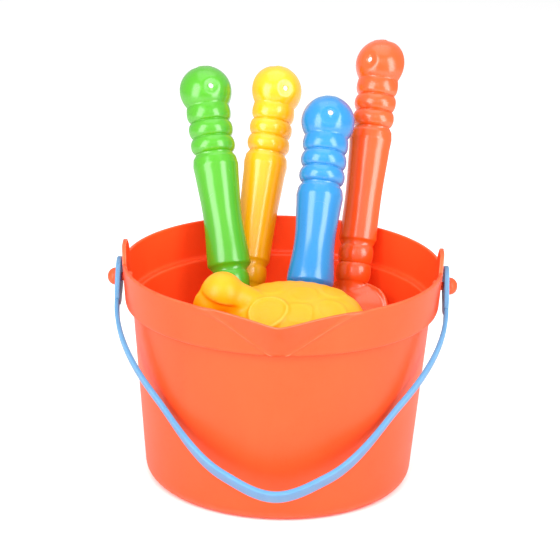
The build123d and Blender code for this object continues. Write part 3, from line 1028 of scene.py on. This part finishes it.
# %% Flow marks
flow, given, out = new_group(
    "flow_marks",
    [("Base", "Color", (0.8, 0.8, 0.8, 1)), ("Deep", "Color", (0.5, 0.5, 0.5, 1)),
     ("Amount", "Float", 0.5)],
    [("Color", "Color", None)],
)
where = add(flow, "ShaderNodeTexCoord")
stretch = add(flow, "ShaderNodeMapping", {"Vector": (where, "Object")}, Scale=(1.0, 1.0, 0.45))
slow = noise(flow, stretch, "Vector", 26.0, 4.0, Distortion=0.8)
speck = noise(flow, where, "Object", 900.0, 2.0)
slow_mask = ramp(flow, slow, "Fac", 0.35, 0.75)
speck_mask = ramp(flow, speck, "Fac", 0.55, 0.8)
specks = combine(flow, "MULTIPLY", (slow_mask, "Result"), (speck_mask, "Result"))
total = combine(flow, "MULTIPLY", (slow_mask, "Result"), (given, "Amount"))
extra = combine(flow, "ADD", (specks, "Value"), (total, "Value"))
blend_colours(flow, given, "Base", "Deep", (extra, "Value"), out)
print("group", flow.name)

# %% Fine grain and rubbed scratches
WAVE_DEPTH = 0.0006
GRAIN_DEPTH = 0.00012
SCRATCH_DEPTH = 0.00008

grain, given, out = new_group(
    "moulding_grain",
    [("Grain", "Float", 0.25), ("Waviness", "Float", 0.25), ("Scratches", "Float", 0.3)],
    [("Normal", "Vector", None), ("Scratch Mask", "Float", None)],
)
where = add(grain, "ShaderNodeTexCoord")
fine = noise(grain, where, "Object", 1400.0, 3.0)
broad = noise(grain, where, "Object", 45.0, 1.0)
rub_a = add(grain, "ShaderNodeMapping", {"Vector": (where, "Object")},
            Rotation=(0.4, 0.9, 0.3), Scale=(1.0, 18.0, 1.0))
rub_b = add(grain, "ShaderNodeMapping", {"Vector": (where, "Object")},
            Rotation=(-0.7, 0.2, 1.1), Scale=(14.0, 1.0, 1.0))
line_a = noise(grain, rub_a, "Vector", 60.0, 3.0)
line_b = noise(grain, rub_b, "Vector", 60.0, 3.0)
mask_a = ramp(grain, line_a, "Fac", 0.68, 0.76)
mask_b = ramp(grain, line_b, "Fac", 0.69, 0.77)
scratch = combine(grain, "MAXIMUM", (mask_a, "Result"), (mask_b, "Result"))
amount = combine(grain, "MULTIPLY", (scratch, "Value"), (given, "Scratches"))
wave_bump = add(grain, "ShaderNodeBump", {"Height": (broad, "Fac"), "Strength": (given, "Waviness")},
                Distance=WAVE_DEPTH)
fine_bump = add(grain, "ShaderNodeBump", {"Height": (fine, "Fac"), "Strength": (given, "Grain"),
                                          "Normal": (wave_bump, "Normal")}, Distance=GRAIN_DEPTH)
cut_bump = add(grain, "ShaderNodeBump", {"Height": (scratch, "Value"), "Strength": (given, "Scratches"),
                                         "Normal": (fine_bump, "Normal")},
               Distance=SCRATCH_DEPTH, invert=True)
grain.links.new(cut_bump.outputs["Normal"], out.inputs["Normal"])
grain.links.new(amount.outputs["Value"], out.inputs["Scratch Mask"])
print("group", grain.name)

# %% Scuffed edges with a painted highlight, and dust
wear_and_highlight, given, out = new_group(
    "edge_wear_and_highlight",
    [("Color", "Color", (0.8, 0.8, 0.8, 1)), ("Worn And Highlight", "Color", (0.9, 0.9, 0.9, 1)),
     ("Amount", "Float", 0.5)],
    [("Color", "Color", None), ("Mask", "Float", None)],
)
shape = add(wear_and_highlight, "ShaderNodeNewGeometry")
where = add(wear_and_highlight, "ShaderNodeTexCoord")
# Pale colour on convex edges: partly scuffing, partly a painted highlight line along rims and creases.
edge = ramp(wear_and_highlight, shape, "Pointiness", 0.515, 0.57)
patch = noise(wear_and_highlight, where, "Object", 130.0, 4.0)
patches = ramp(wear_and_highlight, patch, "Fac", 0.2, 0.55)
broken = combine(wear_and_highlight, "MULTIPLY", (edge, "Result"), (patches, "Result"))
mask = combine(wear_and_highlight, "MULTIPLY", (broken, "Value"), (given, "Amount"))
blend_colours(wear_and_highlight, given, "Color", "Worn And Highlight", (mask, "Value"), out)
wear_and_highlight.links.new(mask.outputs["Value"], out.inputs["Mask"])

dust, given, out = new_group(
    "sand_dust",
    [("Color", "Color", (0.8, 0.8, 0.8, 1)), ("Sand", "Color", (0.72, 0.62, 0.48, 1)),
     ("Amount", "Float", 0.1)],
    [("Color", "Color", None), ("Mask", "Float", None)],
)
shape = add(dust, "ShaderNodeNewGeometry")
where = add(dust, "ShaderNodeTexCoord")
parts = add(dust, "ShaderNodeSeparateXYZ", {"Vector": (shape, "Normal")})
upward = ramp(dust, parts, "Z", 0.55, 1.0)
hollow = ramp(dust, shape, "Pointiness", 0.50, 0.44)
cloud = noise(dust, where, "Object", 70.0, 6.0, Roughness=0.7)
clouds = ramp(dust, cloud, "Fac", 0.45, 0.75)
places = combine(dust, "MAXIMUM", (upward, "Result"), (hollow, "Result"))
broken = combine(dust, "MULTIPLY", (places, "Value"), (clouds, "Result"))
mask = combine(dust, "MULTIPLY", (broken, "Value"), (given, "Amount"))
blend_colours(dust, given, "Color", "Sand", (mask, "Value"), out)
dust.links.new(mask.outputs["Value"], out.inputs["Mask"])
print("groups", wear_and_highlight.name, dust.name)

# %% [markdown]
# ## Coloured plastics
# One function makes every plastic, and each call gives the colour and how shiny and how
# see-through it is. A share of the light passes through the thin wall, which makes the bucket
# look warm from inside. The tools have a clear gloss over their colour, and the bail and the
# mould are duller and softer plastics.

# %% Plastics
FLOW_MARKS = 0.55
# How strongly the pale edge colour shows; it stands for scuffing and also paints an edge highlight.
EDGE_WEAR_AND_HIGHLIGHT = 0.7
SAND_DUST = 0.06
SCRATCHES = 0.15
SCRATCH_ROUGHNESS = 0.25
DUST_ROUGHNESS = 0.8
COAT_ROUGHNESS = 0.16
PLASTIC_IOR = 1.5


def linear(red, green, blue):
    """An 8-bit display colour as the linear values a shader takes."""
    out = []
    for value in (red, green, blue):
        share = value / 255
        out.append(share / 12.92 if share <= 0.04045 else ((share + 0.055) / 1.055) ** 2.4)
    return (*out, 1.0)


def plastic(name, base, deep, worn_and_highlight, roughness=0.3, glow=0.32, gloss=0.0, waviness=0.2):
    """A moulded plastic with flow marks, pale edges (scuffs plus a painted highlight), grain and a trace of
    dust.

    glow is the share of light that passes through the wall, and gloss is a clear shine on top.
    """
    material = bpy.data.materials.new(name)
    material.use_nodes = True
    tree = material.node_tree
    shader = tree.nodes["Principled BSDF"]
    flow_node = add(tree, "ShaderNodeGroup", node_tree=flow)
    flow_node.inputs["Base"].default_value = linear(*base)
    flow_node.inputs["Deep"].default_value = linear(*deep)
    flow_node.inputs["Amount"].default_value = FLOW_MARKS
    wear_and_highlight_node = add(tree, "ShaderNodeGroup", node_tree=wear_and_highlight)
    wear_and_highlight_node.inputs["Worn And Highlight"].default_value = linear(*worn_and_highlight)
    wear_and_highlight_node.inputs["Amount"].default_value = EDGE_WEAR_AND_HIGHLIGHT
    tree.links.new(flow_node.outputs["Color"], wear_and_highlight_node.inputs["Color"])
    dust_node = add(tree, "ShaderNodeGroup", node_tree=dust)
    dust_node.inputs["Amount"].default_value = SAND_DUST
    tree.links.new(wear_and_highlight_node.outputs["Color"], dust_node.inputs["Color"])
    grain_node = add(tree, "ShaderNodeGroup", node_tree=grain)
    grain_node.inputs["Waviness"].default_value = waviness
    grain_node.inputs["Scratches"].default_value = SCRATCHES
    tree.links.new(dust_node.outputs["Color"], shader.inputs["Base Color"])
    tree.links.new(grain_node.outputs["Normal"], shader.inputs["Normal"])
    rough = add(tree, "ShaderNodeMath", {0: (grain_node, "Scratch Mask")}, operation="MULTIPLY_ADD")
    rough.inputs[1].default_value = SCRATCH_ROUGHNESS
    rough.inputs[2].default_value = roughness
    dusty = add(tree, "ShaderNodeMath", {0: (dust_node, "Mask"), 2: (rough, "Value")},
                operation="MULTIPLY_ADD")
    dusty.inputs[1].default_value = DUST_ROUGHNESS
    tree.links.new(dusty.outputs["Value"], shader.inputs["Roughness"])
    shader.inputs["IOR"].default_value = PLASTIC_IOR
    shader.inputs["Coat Weight"].default_value = gloss
    shader.inputs["Coat Roughness"].default_value = COAT_ROUGHNESS
    through = add(tree, "ShaderNodeBsdfTranslucent")
    tree.links.new(dust_node.outputs["Color"], through.inputs["Color"])
    thin = add(tree, "ShaderNodeMixShader", {1: (shader, "BSDF"), 2: (through, "BSDF")}, Fac=glow)
    tree.links.new(thin.outputs["Shader"], tree.nodes["Material Output"].inputs["Surface"])
    return material


# The orange's pale edge colour is partly scuffing and partly the painted highlight along the rim and the
# spout's creases.
orange = plastic(
    "orange_plastic", (252, 94, 39), (250, 86, 30), (255, 190, 150),
    roughness=0.34, glow=0.42, waviness=0.1)
blue_strap = plastic(
    "blue_strap_plastic", (92, 152, 196), (84, 144, 190), (150, 192, 220),
    roughness=0.4)
green = plastic(
    "green_plastic", (72, 162, 22), (64, 154, 17), (115, 195, 80),
    roughness=0.25, glow=0.1, gloss=0.5)
yellow = plastic(
    "yellow_plastic", (244, 177, 8), (240, 168, 4), (250, 208, 80),
    roughness=0.25, glow=0.1, gloss=0.5)
blue = plastic(
    "blue_plastic", (30, 127, 190), (23, 118, 181), (100, 175, 220),
    roughness=0.25, glow=0.1, gloss=0.5)
red = plastic(
    "red_orange_plastic", (234, 80, 22), (230, 72, 16), (246, 140, 90),
    roughness=0.25, glow=0.1, gloss=0.5)
soft_yellow = plastic(
    "soft_yellow_plastic", (238, 176, 4), (234, 166, 2), (250, 212, 90),
    roughness=0.4)
print("materials", len(bpy.data.materials))

# %% Floor finish
paper = bpy.data.materials.new("floor_paper")
paper.use_nodes = True
tree = paper.node_tree
shader = tree.nodes["Principled BSDF"]
where = add(tree, "ShaderNodeTexCoord")
cloud = add(tree, "ShaderNodeTexNoise", {"Vector": (where, "Object")}, Scale=900.0)
tone = add(tree, "ShaderNodeMix", {"Factor": (cloud, "Fac")}, data_type="RGBA")
tone.inputs[6].default_value = (0.93, 0.93, 0.93, 1)
tone.inputs[7].default_value = (0.96, 0.96, 0.96, 1)
tree.links.new(tone.outputs[2], shader.inputs["Base Color"])
shader.inputs["Roughness"].default_value = 0.9
shader.inputs["Specular IOR Level"].default_value = 0.1
floor.data.materials.append(paper)

# %% [markdown]
# ## Dressing the bodies
# Each piece gets its plastic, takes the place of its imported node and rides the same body, so it
# follows the joints. The floor belongs to the stage only.

# %% Ride, replace and repaint
DRESSING = [
    (bucket, orange, "bucket", "bucket", "bucket_orange"),
    (pins["left_pin"], orange, "left_pin", "bucket", "bucket_orange"),
    (pins["right_pin"], orange, "right_pin", "bucket", "bucket_orange"),
    (bail, blue_strap, "bail", "bail", "bail_blue"),
    (tools["green_shovel"], green, "green_shovel", "green_shovel", "tool_green"),
    (tools["yellow_rake"], yellow, "yellow_rake", "yellow_rake", "tool_yellow"),
    (tools["blue_trowel"], blue, "blue_trowel", "blue_trowel", "tool_blue"),
    (tools["red_scoop"], red, "red_scoop", "red_scoop", "tool_red"),
    (turtle, soft_yellow, "turtle_mould", "turtle_mould", "mould_yellow"),
]
for piece, material, node, body, slot in DRESSING:
    piece.data.materials.clear()
    piece.data.materials.append(material)
    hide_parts(node)
    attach(piece, body)
    low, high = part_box(node)
    print(piece.name, "node size mm", [round(c / MM, 1) for c in high - low],
          "dressed mm", [round(c / MM, 1) for c in piece.dimensions])
